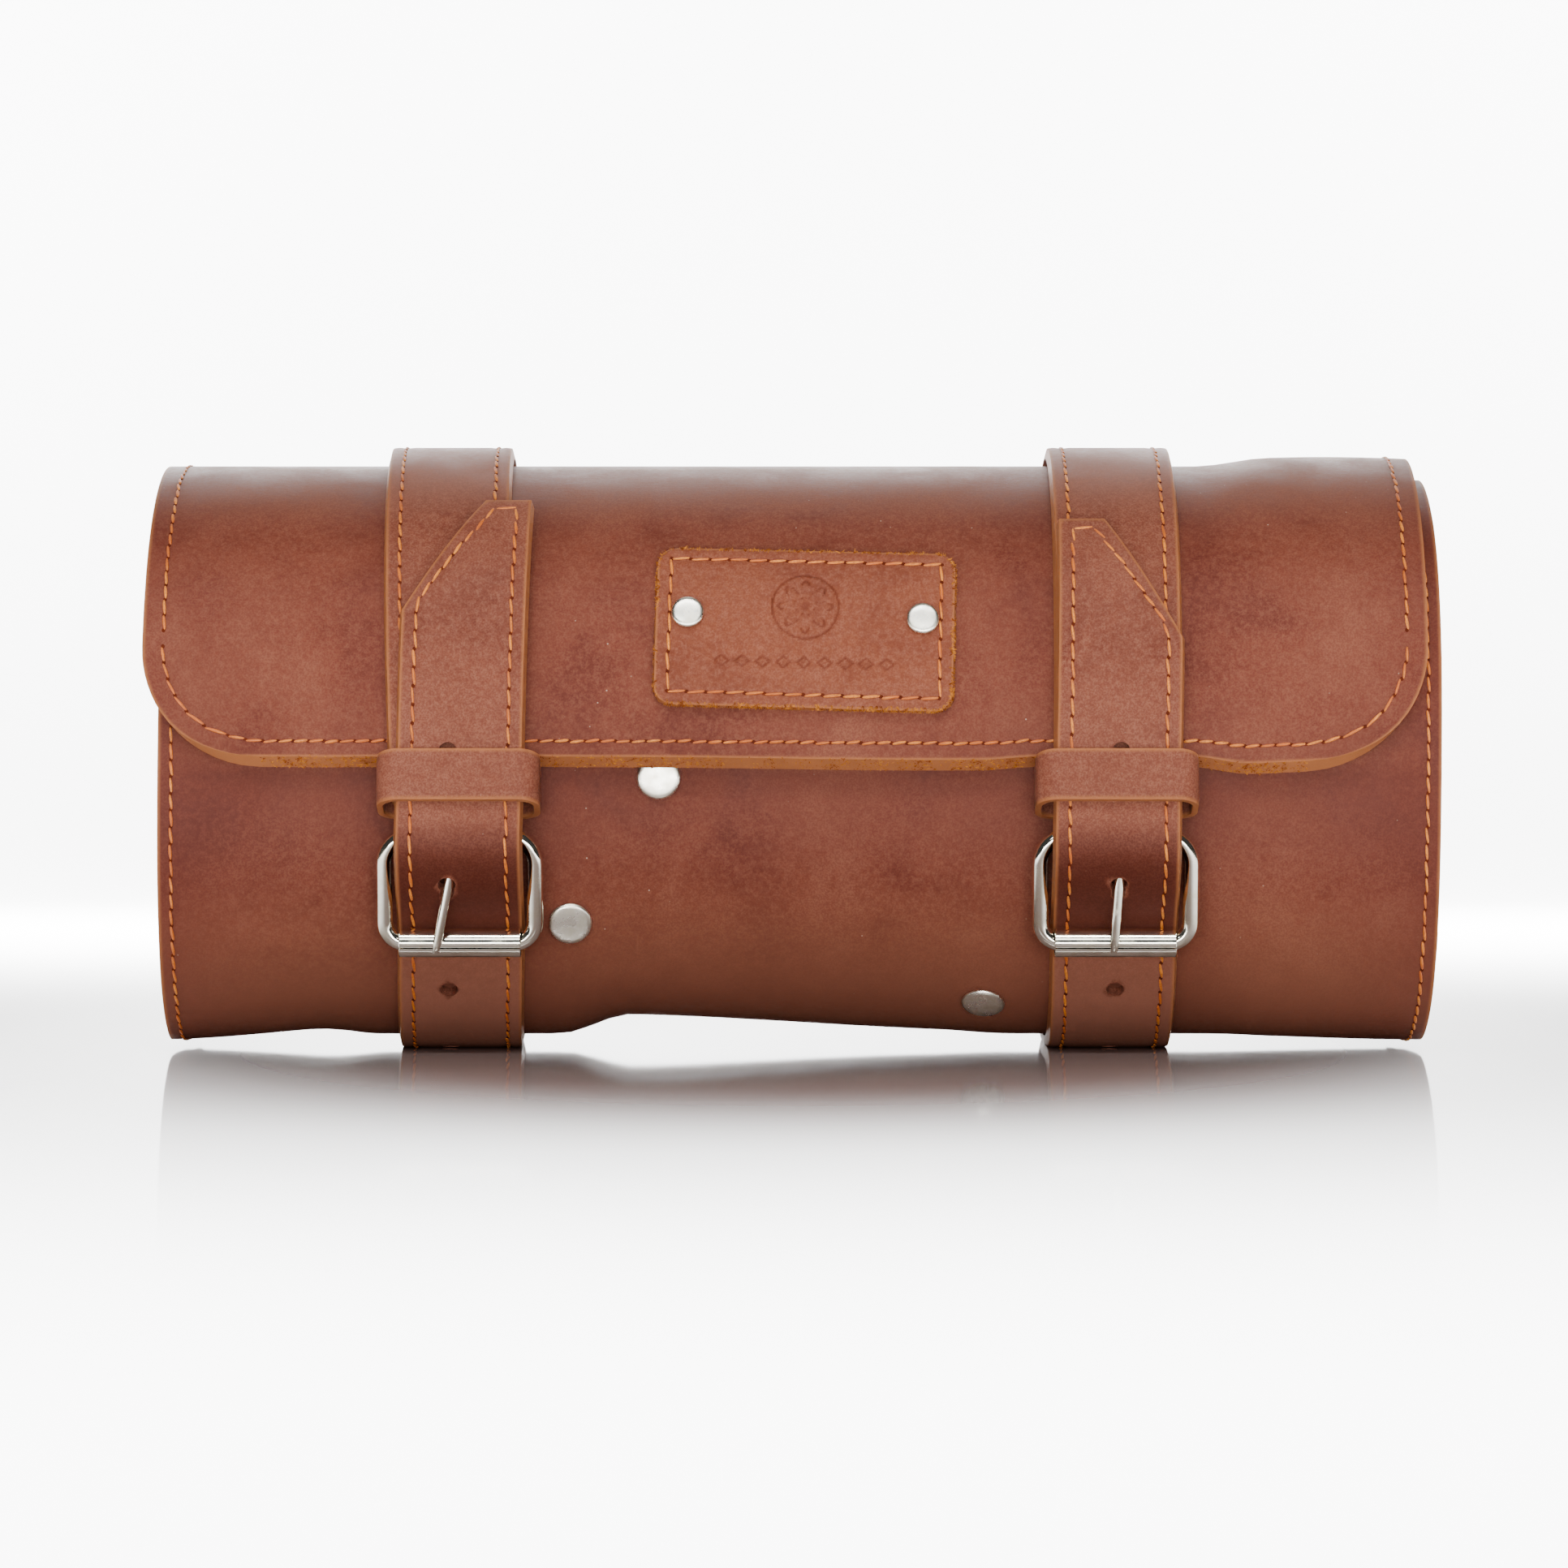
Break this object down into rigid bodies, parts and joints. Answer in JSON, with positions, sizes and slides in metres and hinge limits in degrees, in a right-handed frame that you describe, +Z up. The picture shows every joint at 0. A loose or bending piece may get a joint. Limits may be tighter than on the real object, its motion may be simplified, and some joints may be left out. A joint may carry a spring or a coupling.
{
  "type": "leather tool roll",
  "caption": "Rolled leather tool case lying on its side, with a rounded flap, a riveted patch and straps closed by roller buckles and keeper loops.",
  "frame": {"origin": "centre of the bounding box in X and Y, on the surface that the straps rest on", "axes": "+X along the roll, to the right when facing the buckles; -Y towards the buckles; +Z up"},
  "size_m": [0.268, 0.1294, 0.1281],
  "materials": {
    "roll_leather": "waxed pull-up leather, satin",
    "strap_leather": "waxed pull-up leather, satin, raw edges",
    "nickel": "polished nickel plate"
  },
  "bodies": {
    "root": {"roll_sheet": "roll_leather", "patch": "roll_leather", "rivet_patch_left": "nickel", "rivet_patch_right": "nickel", "rivet_under_flap": "nickel", "rivet_beside_buckle": "nickel", "rivet_low": "nickel", "strap_left": "strap_leather", "strap_right": "strap_leather", "buckle_frame_left": "nickel", "buckle_frame_right": "nickel", "buckle_roller_left": "nickel", "buckle_roller_right": "nickel", "buckle_prong_left": "nickel", "buckle_prong_right": "nickel", "keeper_left": "strap_leather", "keeper_right": "strap_leather"}
  },
  "joints": []
}
